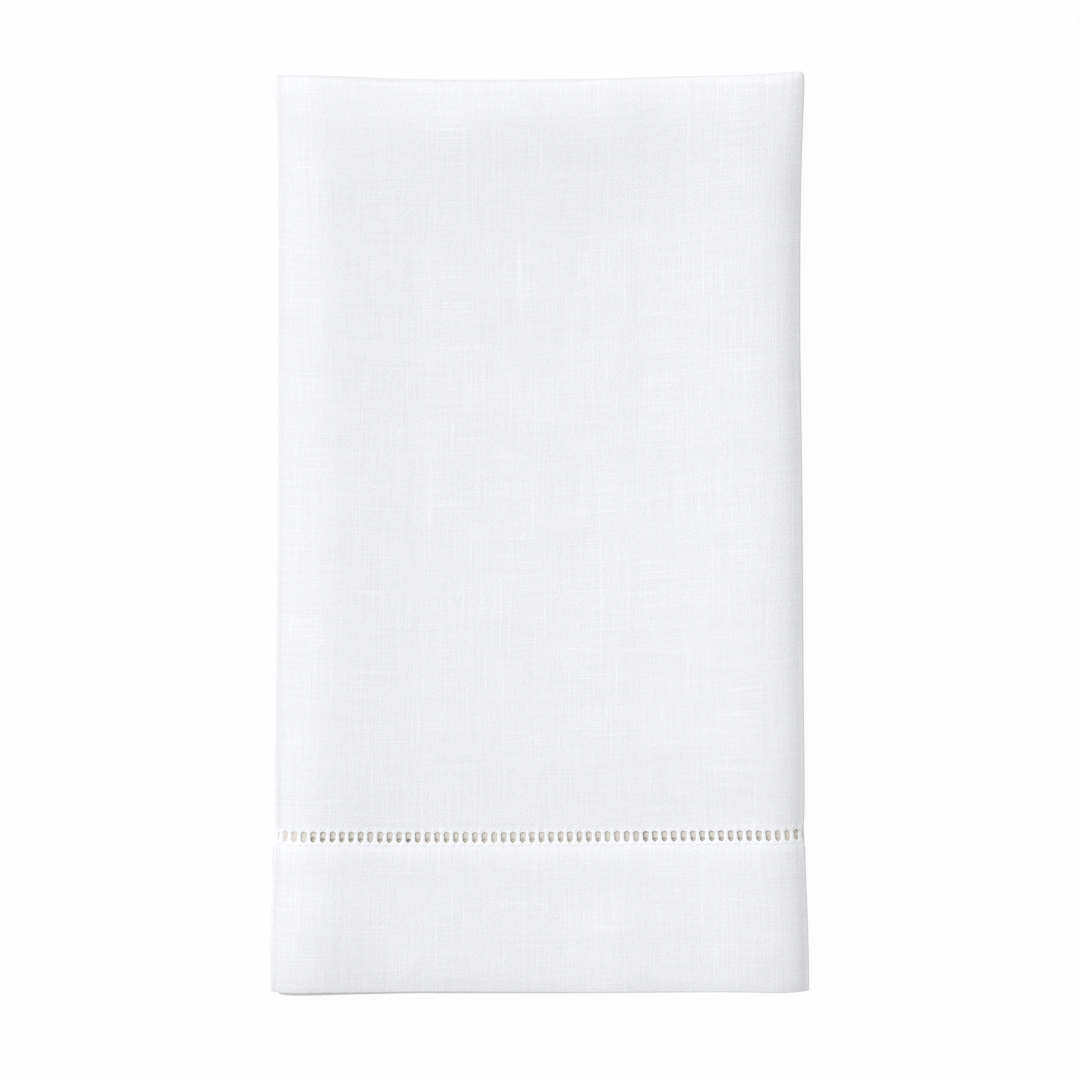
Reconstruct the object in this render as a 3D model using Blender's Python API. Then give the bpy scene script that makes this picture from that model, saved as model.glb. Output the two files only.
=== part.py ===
"""Hand towel: one sheet of white linen with a hemstitched hem at each end.

The sheet is laid out flat, with u across it and v along it, and its rows of
small drawn-thread holes are left open. It is then folded: a flap from each
side goes behind the middle panel, and the strip that is left is folded in
half at the top, with the flaps inside. Six layers lie over each other in the
middle and four at the sides. X runs across the folded towel, +Y towards the
fold at its top and +Z up. It lies on its back panel, flat on Z = 0.
"""

import bpy
import numpy as np

MM = 0.001  # sizes below are in millimetres; the mesh is made in metres

# The folded towel
HALF_WIDTH = 72.15
TOP_EDGE_Y = 125.25
HEM_EDGE_Y = -126.7
FOLD_RADIUS = 1.2  # of the two side folds, to the middle of the cloth
LEFT_FLAP_REACH = 27.5  # x where the left flap ends, behind the front panel
RIGHT_FLAP_REACH = -34.3  # x where the right flap ends, behind the left flap
FLAP_STEP_WIDTH = 12.0  # over this width the left flap comes down off the right flap's edge

# The hemstitched rows
ROW_BOTTOM = 41.2  # from the hem edge to the holes' lower ends
HOLE_HEIGHT = 3.1
HOLE_WIDTH_TOP = 1.78
HOLE_WIDTH_BOTTOM = 1.15
HOLES_IN_PANEL = 55
FIRST_HOLE = 3.5  # along the cloth, from the left fold to the first hole's middle
LAST_HOLE = 3.0  # and from the last hole's middle to the right fold
ROW_RISE_SPREAD = 16.0

# Height of a stack of six layers, by distance up from the hem edge
STACK = {
    "up": (0.0, 7.0, 13.0, 21.0, 33.0, 41.0, 44.0, 48.0, 65.0, 100.0, 150.0, 250.0),
    "thick": (1.0, 1.05, 1.12, 1.15, 1.15, 1.1, 1.0, 1.0, 1.0, 1.0, 1.0, 1.0),
    "pitch": (1.2, 1.28, 1.38, 1.45, 1.50, 1.41, 1.36, 1.39, 1.50, 1.56, 1.55, 1.45),
}
# How far each side fold stands out past HALF_WIDTH
SIDES = {
    "up": (0.0, 20.5, 40.8, 44.1, 48.0, 80.0, 136.0, 191.0, 232.0, 249.0),
    "left": (1.86, 1.47, 0.73, 0.15, 0.45, 0.34, -0.18, -0.34, -0.21, 0.37),
    "right": (1.54, 1.28, 0.56, 0.3, 0.46, 0.07, -0.32, -1.0, -0.45, 0.12),
}
# How far the back panel's side folds lie inside the front panel's
BACK_INSET = {
    "up": (0.0, 15.0, 35.0, 60.0),
    "left": (2.3, 1.9, 0.9, 0.0),
    "right": (0.8, 0.6, 0.3, 0.0),
}
# How much further from the hem edge than ROW_BOTTOM the rows lie
ROW_RISE = {
    "x": (-72.0, -65.0, -49.5, -24.7, 5.5, 22.0, 38.5, 60.5, 72.0),
    "rise": (-0.3, -0.46, -0.35, -0.18, 0.21, 0.34, 0.4, 0.58, 0.65),
}
# The fold at the top, above TOP_EDGE_Y
TOP_EDGE = {
    "x": (-72.6, -55.0, -38.0, -5.5, 16.5, 38.5, 60.5, 70.0, 72.6),
    "rise": (1.10, 0.70, 0.0, -0.22, 0.08, 0.74, 1.27, 2.0, 2.1),
}
# The two hem edges, above HEM_EDGE_Y; the back one shows below the front one at the left
HEM_EDGES = {
    "x": (-74.0, -72.8, -70.0, -60.0, -50.0, -40.0, -30.0, -15.0, 20.0, 60.0, 69.0, 74.0),
    "front": (1.5, 1.2, 0.95, 0.75, 0.6, 0.45, 0.33, 0.15, -0.05, 0.0, 0.15, 1.0),
    "back": (0.3, -0.1, -0.4, -0.6, -0.4, -0.1, -0.02, 0.1, 0.25, 0.5, 0.8, 1.4),
}
# Soft roundness of the front panel: puffed along its folds, pressed in the middle
CROWN_ACROSS = {
    "x": (-72.1, -69.5, -66.0, -61.0, -57.0, -52.0, -46.0, -39.0, -30.0,
          0.0, 23.0, 34.0, 48.0, 57.0, 62.0, 66.0, 69.5, 72.1),
    "body": (-0.2, 0.1, 0.5, 1.0, 1.19, 1.12, 0.8, 0.44, 0.1,
             0.0, -0.18, 0.02, 0.6, 0.95, 0.97, 0.68, 0.0, -0.9),
    "hem": (1.15, 1.75, 2.2, 2.38, 2.24, 1.83, 1.28, 0.78, 0.35,
            0.0, 0.42, 0.5, 0.75, 0.9, 0.75, 0.35, -0.2, -0.7),
}
HEM_CROWN_END = 36.0  # up from the hem edge, where the hem's roundness has given way to the body's
HEM_CROWN_WIDTH = 24.0
# How much higher the whole stack is near the fold at the top
SWELL = {
    "from_top": (4.0, 8.0, 10.5, 14.0, 18.0, 24.0, 32.0, 44.0, 66.0),
    "lift": (2.1, 2.65, 2.72, 2.6, 2.27, 1.63, 0.9, 0.32, 0.0),
}

# Places where the flat sheet is divided, finer where it bends
TURN_STEPS = (-3.6, -2.4, -1.5, -0.8, 0.0, 0.8, 1.5, 2.4, 3.6)  # along the cloth, at each side fold
LEFT_FLAP_X = (27.5, 0.0, -32.0, -37.0, -41.0, -46.0, -60.0)
PANEL_X_LEFT = (-68.0, -65.5, -62.5, -59.0, -55.0, -50.0, -44.0, -37.0, -28.0, -15.0)
PANEL_X_RIGHT = (0.0, 14.0, 26.0, 34.0, 42.0, 50.0, 56.0, 60.0, 63.0, 65.5, 68.0)
RIGHT_FLAP_X = (62.0, 30.0, 0.0, -34.3)
FRONT_UP = (0.0, 3.0, 8.0, 14.0, 22.0, 33.0, 52.0, 80.0, 120.0, 160.0, 190.0, 207.0, 219.0, 228.0, 235.0,
            240.0, 244.0)
BACK_UP = (0.0, 12.0, 33.0, 60.0, 110.0, 180.0, 230.0)
TOP_TURN_STEPS = 8

LINEN = (0.86, 0.87, 0.89)
SMALL_STEP = 0.02  # used to find the cloth's direction

# What follows from the sizes above
HALF_STACK = 2.5 * STACK["pitch"][-1]
TOP_TURN_REACH = HALF_STACK + STACK["thick"][-1] / 2
STRAIGHT = TOP_EDGE_Y - TOP_TURN_REACH - HEM_EDGE_Y  # from a hem edge to the start of the top fold
SHEET_LENGTH = 2 * STRAIGHT + np.pi * HALF_STACK
LEFT_FOLD = LEFT_FLAP_REACH + HALF_WIDTH + FOLD_RADIUS  # u of the left fold
PANEL_WIDTH = 2 * (HALF_WIDTH + FOLD_RADIUS)
RIGHT_FOLD = LEFT_FOLD + PANEL_WIDTH
SHEET_WIDTH = RIGHT_FOLD + HALF_WIDTH + FOLD_RADIUS - RIGHT_FLAP_REACH
PANEL_MIDDLE = LEFT_FOLD + PANEL_WIDTH / 2
HOLE_PITCH = (PANEL_WIDTH - FIRST_HOLE - LAST_HOLE) / (HOLES_IN_PANEL - 1)


def read(table, column, places):
    """A column of a table at the given places, on a smooth curve through its rows."""
    keys = np.array(list(table.values())[0])
    values = np.array(table[column])
    slopes = np.gradient(values, keys)
    places = np.clip(places, keys[0], keys[-1])
    row = np.clip(np.searchsorted(keys, places, side="right") - 1, 0, len(keys) - 2)
    span = keys[row + 1] - keys[row]
    t = (places - keys[row]) / span
    start = (1 + 2 * t) * (1 - t) ** 2 * values[row] + t * (1 - t) ** 2 * span * slopes[row]
    end = t * t * (3 - 2 * t) * values[row + 1] - t * t * (1 - t) * span * slopes[row + 1]
    return start + end


def ease(t):
    """0 to 1 with level ends."""
    t = np.clip(t, 0.0, 1.0)
    return t * t * (3 - 2 * t)


def flap_height(x, on_left):
    """Height of a flap above the middle of the stack, in layers."""
    off_edge = ease((RIGHT_FLAP_REACH - 1.5 - x) / FLAP_STEP_WIDTH)
    return np.where(on_left, 1.5 - off_edge, 0.5)


def place_across(u, v, up):
    """x, the same with straight sides, the share of a panel in the fold (0 in a flap), and the side."""
    on_left = u < PANEL_MIDDLE
    turn = np.where(on_left, u - LEFT_FOLD, RIGHT_FOLD - u)
    inset = np.hypot(turn, FOLD_RADIUS) - FOLD_RADIUS
    behind = ease((v - STRAIGHT) / (SHEET_LENGTH - 2 * STRAIGHT))
    left = read(SIDES, "left", up) - behind * read(BACK_INSET, "left", up)
    right = read(SIDES, "right", up) - behind * read(BACK_INSET, "right", up)
    bulge = np.where(on_left, left, right) * np.clip(1 - inset / HALF_WIDTH, 0.0, 1.0)
    side = np.where(on_left, -1.0, 1.0)
    in_panel = (1 + np.tanh(turn / FOLD_RADIUS)) / 2
    return side * (HALF_WIDTH + bulge - inset), side * (HALF_WIDTH - inset), in_panel, on_left


def crown(straight_x, up):
    """Roundness of the front panel."""
    body = read(CROWN_ACROSS, "body", straight_x)
    hem = read(CROWN_ACROSS, "hem", straight_x)
    return body + (hem - body) * ease((HEM_CROWN_END - up) / HEM_CROWN_WIDTH)


def fold(u, v):
    """Middle of the folded cloth for places on the flat sheet, one row of x, y, z each."""
    up = np.minimum(np.minimum(v, SHEET_LENGTH - v), STRAIGHT)
    x, straight_x, in_panel, on_left = place_across(u, v, up)
    thick = read(STACK, "thick", up)
    pitch = read(STACK, "pitch", up)
    flap = flap_height(x, on_left) * pitch
    radius = flap + (2.5 * pitch - flap) * in_panel
    angle = np.pi * np.clip((v - STRAIGHT) / (SHEET_LENGTH - 2 * STRAIGHT), 0.0, 1.0)
    hem_edge = np.where(v < SHEET_LENGTH / 2, read(HEM_EDGES, "front", x), read(HEM_EDGES, "back", x))
    start_y = HEM_EDGE_Y + hem_edge
    end_y = TOP_EDGE_Y + read(TOP_EDGE, "rise", x) - TOP_TURN_REACH
    row_rise = read(ROW_RISE, "rise", x) * np.exp(-(((up - ROW_BOTTOM) / ROW_RISE_SPREAD) ** 2))
    y = start_y + (end_y - start_y) * up / STRAIGHT + row_rise + radius * np.sin(angle)
    above_back = 2.5 * pitch + radius * np.cos(angle)
    swell = read(SWELL, "lift", STRAIGHT + TOP_TURN_REACH - up) * above_back / (5 * pitch)
    z = thick / 2 + above_back + swell + crown(straight_x, up) * in_panel * (1 + np.cos(angle)) / 2
    return np.column_stack((x, y, z))


def faces_of_cloth(u, v):
    """Outer and inner face points of the folded cloth, half its thickness from its middle."""
    step_u = [np.clip(u + d, 0, SHEET_WIDTH) for d in (-SMALL_STEP, SMALL_STEP)]
    step_v = [np.clip(v + d, 0, SHEET_LENGTH) for d in (-SMALL_STEP, SMALL_STEP)]
    across = fold(step_u[1], v) - fold(step_u[0], v)
    along = fold(u, step_v[1]) - fold(u, step_v[0])
    normal = np.cross(across, along)
    normal /= np.linalg.norm(normal, axis=1)[:, None]
    middle = fold(u, v)
    half = read(STACK, "thick", np.minimum(v, SHEET_LENGTH - v))[:, None] / 2
    return middle + half * normal, middle - half * normal


def u_in_panel(x):
    side = np.sign(x) if x else 1.0
    turn = np.sqrt((HALF_WIDTH - abs(x) + FOLD_RADIUS) ** 2 - FOLD_RADIUS**2)
    return PANEL_MIDDLE + side * (PANEL_WIDTH / 2 - turn)


def coarse_stations():
    """u of the divisions that run along the whole sheet."""
    left_flap = [LEFT_FLAP_REACH - x for x in LEFT_FLAP_X]
    left_fold = [LEFT_FOLD + s for s in TURN_STEPS]
    panel = [u_in_panel(x) for x in PANEL_X_LEFT + PANEL_X_RIGHT]
    right_fold = [RIGHT_FOLD + s for s in TURN_STEPS]
    right_flap = [SHEET_WIDTH - (x - RIGHT_FLAP_REACH) for x in RIGHT_FLAP_X]
    return left_flap + left_fold + panel + right_fold + right_flap


def row_stations(width):
    """u of the divisions in a row of holes, with the holes' two sides at this width."""
    first = LEFT_FOLD + FIRST_HOLE
    middles = [first + k * HOLE_PITCH for k in range(HOLES_IN_PANEL)]
    sides = [middle + side * width / 2 for middle in middles for side in (-1, 1)]
    margin = HOLE_PITCH / 2
    outside = [u for u in coarse_stations() if u < middles[0] - margin or u > middles[-1] + margin]
    return sorted(outside + sides), sides


class FlatSheet:
    """The sheet before it is folded: points (u, v) and the faces between them."""

    def __init__(self):
        self.points = []
        self.faces = []

    def add_row(self, stations, v):
        first = len(self.points)
        self.points += [(u, v) for u in stations]
        return list(range(first, len(self.points)))

    def join_equal(self, low, high, holes=()):
        """Quads between two rows with the same divisions, left open where a hole starts."""
        for k in range(len(low) - 1):
            if low[k] not in holes:
                self.faces.append((low[k], low[k + 1], high[k + 1], high[k]))

    def join_unequal(self, low, high):
        """Triangles between two rows with different divisions."""
        i = j = 0
        while i < len(low) - 1 or j < len(high) - 1:
            low_is_next = j == len(high) - 1 or (
                i < len(low) - 1 and self.points[low[i + 1]][0] <= self.points[high[j + 1]][0]
            )
            if low_is_next:
                self.faces.append((low[i], low[i + 1], high[j]))
                i += 1
            else:
                self.faces.append((low[i], high[j + 1], high[j]))
                j += 1


def add_hole_row(sheet, before, v_low, v_high, width_low, width_high):
    """A band with the open holes, from v_low to v_high. Returns its upper row."""
    stations, sides = row_stations(width_low)
    low = sheet.add_row(stations, v_low)
    high = sheet.add_row(row_stations(width_high)[0], v_high)
    starts = {low[stations.index(u)] for u in sides[0::2]}
    sheet.join_unequal(before, low)
    sheet.join_equal(low, high, starts)
    return high


def flat_sheet():
    """The whole sheet with both rows of holes, from the front hem edge to the back one."""
    sheet = FlatSheet()
    stations = coarse_stations()
    row_top = ROW_BOTTOM + HOLE_HEIGHT
    turn = [STRAIGHT + (SHEET_LENGTH - 2 * STRAIGHT) * k / TOP_TURN_STEPS for k in range(TOP_TURN_STEPS + 1)]
    hem = [v for v in FRONT_UP if v < ROW_BOTTOM]
    body = [v for v in FRONT_UP if v > row_top] + turn
    body += [SHEET_LENGTH - v for v in reversed(BACK_UP) if v > row_top]
    back_hem = [SHEET_LENGTH - v for v in reversed(BACK_UP) if v < ROW_BOTTOM]

    row = add_plain_rows(sheet, stations, hem, None)
    row = add_hole_row(sheet, row, ROW_BOTTOM, row_top, HOLE_WIDTH_BOTTOM, HOLE_WIDTH_TOP)
    row = add_plain_rows(sheet, stations, body, row)
    low, high = SHEET_LENGTH - row_top, SHEET_LENGTH - ROW_BOTTOM
    row = add_hole_row(sheet, row, low, high, HOLE_WIDTH_TOP, HOLE_WIDTH_BOTTOM)
    add_plain_rows(sheet, stations, back_hem, row)
    return sheet


def add_plain_rows(sheet, stations, places, before):
    """Rows without holes at each place along the sheet. Returns the last one."""
    for v in places:
        row = sheet.add_row(stations, v)
        if before is not None:
            join = sheet.join_equal if len(before) == len(row) else sheet.join_unequal
            join(before, row)
        before = row
    return before


def closed_faces(faces, count):
    """Faces of the outer side, the inner side and the rims between them."""
    edges = {(face[k - 1], face[k]) for face in faces for k in range(len(face))}
    rims = [(b, a, a + count, b + count) for a, b in edges if (b, a) not in edges]
    inner = [tuple(k + count for k in reversed(face)) for face in faces]
    return faces + inner + sorted(rims)


def make_linen():
    material = bpy.data.materials.new("white_linen")
    material.use_nodes = True
    shader = material.node_tree.nodes["Principled BSDF"]
    shader.inputs["Base Color"].default_value = (*LINEN, 1.0)
    shader.inputs["Roughness"].default_value = 0.9
    shader.inputs["Metallic"].default_value = 0.0
    return material


def make_towel():
    sheet = flat_sheet()
    u, v = np.array(sheet.points).T
    outer, inner = faces_of_cloth(u, v)
    points = np.vstack((outer, inner))
    points[:, 2] = np.maximum(points[:, 2], 0.0)
    points[:, :2] -= (points[:, :2].max(axis=0) + points[:, :2].min(axis=0)) / 2
    mesh = bpy.data.meshes.new("towel")
    mesh.from_pydata((points * MM).tolist(), [], closed_faces(sheet.faces, len(u)))
    mesh.shade_smooth()
    mesh.set_sharp_from_angle(angle=np.radians(40.0))
    mesh.materials.append(make_linen())
    towel = bpy.data.objects.new("towel", mesh)
    bpy.context.scene.collection.objects.link(towel)


for existing in list(bpy.data.objects):
    bpy.data.objects.remove(existing)
make_towel()
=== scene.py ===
"""Hand towel, dressed: one thin linen sheet on the folds of the solid, its hemstitched rows open, with
the wrapped bars and slanting stitches of the hemstitch in their own threads.

Everything is drawn on the flat sheet first, with u across it, v along it and n out of its good side,
and then folded with it. Sizes are in millimetres; the meshes are made in metres.
"""

import bpy
import numpy as np
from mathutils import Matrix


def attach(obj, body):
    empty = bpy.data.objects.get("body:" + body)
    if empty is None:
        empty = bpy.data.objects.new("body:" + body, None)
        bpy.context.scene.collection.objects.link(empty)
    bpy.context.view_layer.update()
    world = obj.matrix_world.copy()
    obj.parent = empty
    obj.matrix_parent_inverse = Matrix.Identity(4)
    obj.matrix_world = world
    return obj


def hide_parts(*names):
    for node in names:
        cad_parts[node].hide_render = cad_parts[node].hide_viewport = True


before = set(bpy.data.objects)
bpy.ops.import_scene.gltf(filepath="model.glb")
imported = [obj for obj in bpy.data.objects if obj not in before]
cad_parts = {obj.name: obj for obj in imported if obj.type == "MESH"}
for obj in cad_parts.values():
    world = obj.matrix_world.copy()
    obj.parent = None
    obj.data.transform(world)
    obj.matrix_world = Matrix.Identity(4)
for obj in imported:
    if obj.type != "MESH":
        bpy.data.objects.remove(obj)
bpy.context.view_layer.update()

MM = 0.001

# ---------------------------------------------------------------- the folded towel
HALF_WIDTH = 72.65
TOP_EDGE_Y = 125.25
HEM_EDGE_Y = -126.3
FOLD_RADIUS = 0.35
FOLD_WALL = 1.0  # cloth between the middle of a side fold and either of its layers
LAYER_STEPS = 5  # from the lowest of the six layers to the highest
LEFT_FLAP_REACH = 27.5
RIGHT_FLAP_REACH = -34.3
LEFT_FLAP_LAYER = 1.5  # above the middle of the stack, in layers
RIGHT_FLAP_LAYER = 0.5
FLAP_STEP_WIDTH = 12.0  # the left flap steps down a layer over this width
FLAP_STEP_MARGIN = 1.5  # and starts this far from the right flap's edge
FLAP_CLOSER = 0.2  # a flap lies this much nearer to its panel than the middle of its layer
TURN_SQUARENESS = 3.0  # of the fold at the top: 2 is a half circle, and more is squarer
TURN_DIVISIONS = 4001  # points that its curve is measured at

# ---------------------------------------------------------------- the hemstitched rows
ROW_BOTTOM = 41.25
HOLE_HEIGHT = 2.65
HOLES_IN_PANEL = 55
FIRST_HOLE = 3.85  # along the cloth, from the middle of a side fold to the nearest whole hole's middle
LAST_HOLE = 3.15
HOLE_JITTER = 0.09
FOLD_HOLES = {  # the same to the holes at the folds themselves, which are pressed shut
    "left": (2.0, -0.9),
    "right": (1.4, -0.9),
}
SUNK_HOLE_START = 1.1  # a pressed hole this far from the fold or more is sunk a little
FOLD_HOLE_DEPTH = 0.05
FOLD_HOLE_HALF_WIDTH = 0.4
FOLD_BAR_MARGIN = 1.5  # no bar stands out of the cloth this near to a fold
CELL_SIDE_POINTS = 4
HOLE_POINTS = 4 * (CELL_SIDE_POINTS - 1)
HOLE_SQUARENESS = 3.0
CUT_HALF_WIDTH = 1.0
CUT_MARGIN = 0.3  # the cloth is cut back this much behind the ends of the bars
SELVEDGE_MARGIN = 2.0  # no hole lies nearer to the free edges
ROW_RISE_SPREAD = 16.0
FLAP_ROW_DROP = 2.0  # the rows in the flaps lie lower than the row in the panel
FLAP_ROW_DROP_START = 3.0
FLAP_ROW_DROP_WIDTH = 12.0
COVERED = ((0.0, 11.5), (26.7, 29.3), (58.4, 63.4), (92.0, 101.0))  # uncut in the left flap, from its fold
PRESS_GAP = 0.04  # between layers at the row, where they are pressed together
PRESS_SPREAD = 13.0  # up and down from the row
PRESS_START = 0.9  # past the middle of a side fold
PRESS_WIDTH = 1.6
PRESS_PAST_FLAP = 5.0  # a flap's layer counts up to here past its free edge
PRESS_EASE = 4.0

STACK = {  # the solid's layers, up from the hem edge
    "up": (0.0, 1.5, 3.5, 7.0, 13.0, 21.0, 28.0, 34.0, 38.0, 41.0, 44.0, 48.0, 55.0, 65.0, 78.0, 100.0,
           150.0, 250.0),
    "thick": (1.05, 1.06, 1.08, 1.1, 1.12, 1.14, 1.15, 1.15, 1.14, 1.1, 1.0, 1.0, 1.0, 1.0, 1.0, 1.0,
              1.0, 1.0),
    "pitch": (0.87, 0.965, 1.035, 1.14, 1.26, 1.37, 1.44, 1.52, 1.51, 1.41, 1.29, 1.34, 1.48, 1.62, 1.68,
              1.7, 1.57, 1.45),
}
CLOTH = {  # thickness of the real cloth, doubled in the hem
    "up": (0.0, 3.0, 36.0, 39.0, 40.5, 44.5, 47.0, 50.0, 250.0),
    "thick": (0.7, 0.8, 0.8, 0.56, 0.19, 0.19, 0.5, 0.5, 0.5),
}
SIDES = {  # how far the sides stand out past HALF_WIDTH
    "up": (0.0, 10.0, 20.5, 30.0, 36.0, 40.0, 42.2, 44.1, 48.0, 56.0, 80.0, 136.0, 191.0, 232.0, 249.0),
    "left": (1.86, 1.78, 1.45, 1.1, 0.92, 0.68, 0.5, 0.38, 0.46, 0.5, 0.34, -0.18, -0.34, -0.21, 0.37),
    "right": (1.42, 1.22, 0.9, 0.48, 0.22, 0.05, -0.08, -0.18, -0.02, 0.0, -0.25, -0.6, -1.2, -0.65,
              -0.03),
}
BACK_INSET = {  # how far the back panel's sides lie inside the front panel's
    "up": (0.0, 15.0, 35.0, 60.0),
    "left": (2.3, 1.9, 0.9, 0.0),
    "right": (0.8, 0.6, 0.3, 0.0),
}
ROW_RISE = {
    "x": (-72.0, -65.0, -49.5, -24.7, 5.5, 22.0, 38.5, 49.5, 60.5, 72.0),
    "rise": (0.17, 0.0, -0.07, -0.16, 0.1, 0.17, 0.12, 0.18, 0.26, 0.35),
}
TOP_EDGE = {
    "x": (-72.6, -55.0, -38.0, -5.5, 16.5, 38.5, 60.5, 69.0, 71.0, 71.9, 72.4, 72.8),
    "rise": (1.10, 0.70, 0.0, -0.22, 0.08, 0.74, 1.27, 1.95, 2.07, 1.98, 1.6, 0.9),
}
HEM_EDGES = {
    "x": (-74.0, -72.8, -70.0, -60.0, -50.0, -40.0, -30.0, -15.0, 20.0, 38.0, 56.0, 69.0, 74.0),
    "front": (0.65, 0.35, 0.08, 0.16, 0.2, 0.24, 0.33, 0.22, 0.12, 0.26, 0.26, 0.12, 0.5),
    "back": (0.0, -0.45, -0.82, -0.83, -0.58, -0.4, -0.28, -0.28, -0.2, -0.05, 0.08, 0.5, 0.95),
}
CROWN_ACROSS = {  # lift of the front panel at its top fold, in its body and at its hem
    "x": (-72.2, -70.1, -68.2, -66.0, -63.2, -60.5, -57.2, -52.2, -46.2, -39.3, -33.0, -20.6, 0.0,
          11.0, 23.0, 32.2, 39.9, 48.2, 55.6, 61.1, 64.7, 67.1, 69.1, 70.4, 71.8, 72.3),
    "top": (-0.68, -0.43, -0.14, 0.19, 0.55, 0.73, 0.84, 0.94, 0.83, 0.54, 0.26, 0.24, 0.11, 0.0, 0.05,
            0.05, 0.35, 0.59, 0.73, 0.61, 0.49, 0.35, 0.13, -0.12, -0.52, -0.66),
    "body": (-0.59, -0.34, 0.0, 0.36, 0.72, 0.95, 1.06, 0.95, 0.65, 0.28, 0.1, -0.09, -0.23, -0.24,
             -0.06, 0.08, 0.29, 0.66, 0.96, 1.04, 0.87, 0.57, 0.09, -0.42, -1.06, -1.24),
    "hem": (1.1, 1.36, 1.67, 1.94, 2.19, 2.25, 2.17, 1.68, 1.07, 0.6, 0.49, 0.14, -0.01, 0.16, 0.55,
            0.36, 0.49, 0.84, 1.02, 0.89, 0.68, 0.31, -0.18, -0.72, -1.53, -1.73),
}
TOP_BLEND = (12.0, 35.0)  # from the top fold: where the top's lift ends, and where the body's starts
HEM_BLEND = (36.0, 24.0)  # up from the hem edge: where the hem's lift starts, and over how much
SWELL = {  # how much higher the stack is near the fold at the top
    "from_top": (0.0, 2.0, 4.0, 5.7, 8.0, 10.2, 12.1, 14.3, 17.0, 19.8, 23.9, 28.0, 33.6, 39.1, 47.3, 66.0),
    "lift": (0.45, 1.0, 1.51, 1.97, 2.28, 2.41, 2.44, 2.41, 2.21, 1.98, 1.62, 1.3, 0.83, 0.51, 0.26,
             -0.07),
}
SWELL_SHAPE = {  # how far down it reaches and how high it is, across the panel
    "x": (-72.2, -60.0, -50.0, -30.0, -12.0, 5.0, 27.0, 35.0, 72.2),
    "reach": (0.72, 1.09, 1.08, 1.15, 1.12, 1.21, 1.04, 1.02, 0.92),
    "height": (0.75, 0.76, 0.79, 1.24, 1.36, 1.17, 0.84, 0.69, 0.44),
}
CORNER = {"x": 66.0, "width": 5.0, "from_top": 3.2, "crown": 0.1}  # the fuller top right corner
CREASES = {  # soft ridges (+) and troughs (-) of the front panel, from start to end
    "start": ((-34.0, 95.0), (27.5, 92.0)),
    "end": ((-34.0, -70.0), (27.5, -68.0)),
    "width": (3.0, 1.6),
    "lift": (-0.08, -0.06),
}
CREASE_FADE = 20.0  # from the fold at the top
UNDULATIONS = 14
UNDULATION_LENGTHS = (14.0, 60.0)
UNDULATION_LIFT = 0.012  # of one of this length, and more in a longer one
UNDULATION_LENGTH = 30.0
SEED = 11

# ---------------------------------------------------------------- divisions of the flat sheet
TURN_STEPS = (0.0, 0.3, 0.6, 0.9, 1.25, 1.6, 2.0, 2.5, 3.1, 3.9, 4.9)  # from the middle of a side fold
PANEL_STEP = 1.6
FLAP_STEP = 6.0
FRONT_STEP = 2.2
BACK_STEP = 6.0
TOP_TURN_STEPS = 18
BELOW_ROW = (-6.0, -3.6, -2.6, -2.1, -1.8, -1.55, -1.3, -1.05, -0.8)  # from the holes' lower ends
ABOVE_ROW = (0.8, 1.3, 2.0, 3.2, 5.0)  # from the holes' upper ends
BAND_END_GAP = 0.3
HEM_ROUNDING = (0.0, 0.12, 0.3, 0.6, 1.0)
RIM_ANGLES = (-45.0, 0.0, 45.0)
GROOVE_UP = 40.1  # the groove below the bars' feet
GROOVE_WIDTH = 0.6
GROOVE_DEPTH = 0.03
SMALL_STEP = 0.02

HALF_STACK = LAYER_STEPS / 2 * STACK["pitch"][-1]
TOP_TURN_REACH = HALF_STACK + STACK["thick"][-1] / 2
STRAIGHT = TOP_EDGE_Y - TOP_TURN_REACH - HEM_EDGE_Y
SHEET_LENGTH = 2 * STRAIGHT + np.pi * HALF_STACK
LEFT_FOLD = LEFT_FLAP_REACH + HALF_WIDTH + FOLD_WALL
PANEL_WIDTH = 2 * (HALF_WIDTH + FOLD_WALL)
RIGHT_FOLD = LEFT_FOLD + PANEL_WIDTH
SHEET_WIDTH = RIGHT_FOLD + HALF_WIDTH + FOLD_WALL - RIGHT_FLAP_REACH
PANEL_MIDDLE = LEFT_FOLD + PANEL_WIDTH / 2
LEFT_FLAP_END = RIGHT_FOLD + HALF_WIDTH - LEFT_FLAP_REACH  # where it ends in front of the right flap
HOLE_PITCH = (PANEL_WIDTH - FIRST_HOLE - LAST_HOLE) / (HOLES_IN_PANEL - 1)
ROW_TOP = ROW_BOTTOM + HOLE_HEIGHT
ROW_MIDDLE = ROW_BOTTOM + HOLE_HEIGHT / 2
BAND = (ROW_BOTTOM + BELOW_ROW[-1], ROW_TOP + ABOVE_ROW[0])  # the cells round the holes
CUT = (ROW_BOTTOM - CUT_MARGIN, ROW_TOP + CUT_MARGIN)


# ---------------------------------------------------------------- folding
def read(table, column, places):
    """A column of a table at the given places, on a smooth curve through its rows."""
    keys = np.array(list(table.values())[0])
    values = np.array(table[column])
    slopes = np.gradient(values, keys)
    places = np.clip(places, keys[0], keys[-1])
    row = np.clip(np.searchsorted(keys, places, side="right") - 1, 0, len(keys) - 2)
    span = keys[row + 1] - keys[row]
    t = (places - keys[row]) / span
    start = (1 + 2 * t) * (1 - t) ** 2 * values[row] + t * (1 - t) ** 2 * span * slopes[row]
    end = t * t * (3 - 2 * t) * values[row + 1] - t * t * (1 - t) * span * slopes[row + 1]
    return start + end


def ease(t):
    """0 to 1 with level ends."""
    t = np.clip(t, 0.0, 1.0)
    return t * t * (3 - 2 * t)


def up_from_hem(v):
    return np.minimum(v, SHEET_LENGTH - v)


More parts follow.
